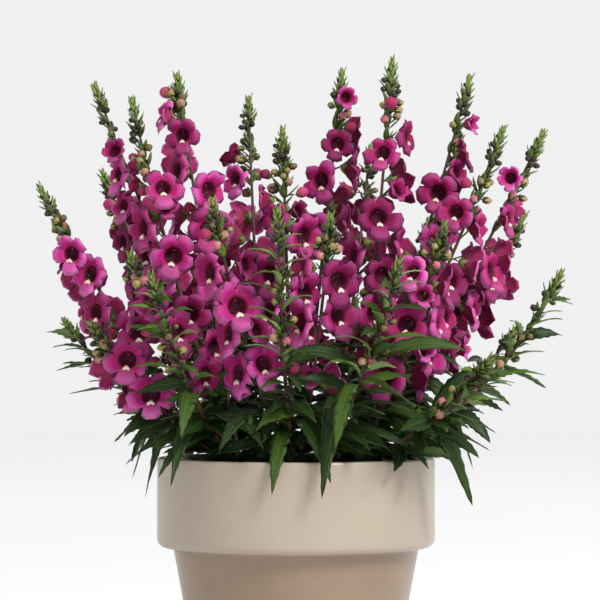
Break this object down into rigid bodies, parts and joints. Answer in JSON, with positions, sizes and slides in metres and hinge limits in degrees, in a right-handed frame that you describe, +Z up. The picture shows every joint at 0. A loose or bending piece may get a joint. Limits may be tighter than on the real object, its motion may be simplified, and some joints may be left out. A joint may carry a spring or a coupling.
{
  "type": "potted angelonia",
  "caption": "Bushy flowering balcony plant with upright magenta racemes and toothed leaves, in a tapered round pot with a tall rim band.",
  "frame": {"origin": "centre of the flat underside of the pot", "axes": "+Z up along the pot's axis, -Y towards the viewer of the picture, +X to the viewer's right"},
  "size_m": [0.3106, 0.2624, 0.374],
  "materials": {
    "pot": "satin taupe glaze",
    "soil": "rough damp potting soil",
    "green": "semi-gloss leaf",
    "petals": "soft velvety petal"
  },
  "bodies": {
    "root": {"pot": "pot", "soil": "soil", "plant_1": "green", "plant_2": "green", "plant_3": "green", "plant_4": "green", "plant_5": "green", "plant_6": "green", "raceme_A": "petals", "raceme_B": "petals", "raceme_C": "petals", "raceme_D": "petals", "raceme_F": "petals", "raceme_G": "petals", "raceme_J": "petals", "raceme_K": "petals", "raceme_M": "petals", "raceme_O": "petals", "raceme_P": "petals", "raceme_T": "petals", "raceme_U": "petals", "raceme_V": "petals", "raceme_W": "petals", "raceme_X": "petals", "raceme_E": "petals", "raceme_L": "petals", "raceme_N": "petals", "raceme_Y": "petals", "raceme_Z": "petals", "raceme_G2": "petals", "raceme_H2": "petals", "raceme_J2": "petals", "raceme_K2": "petals"}
  },
  "joints": []
}
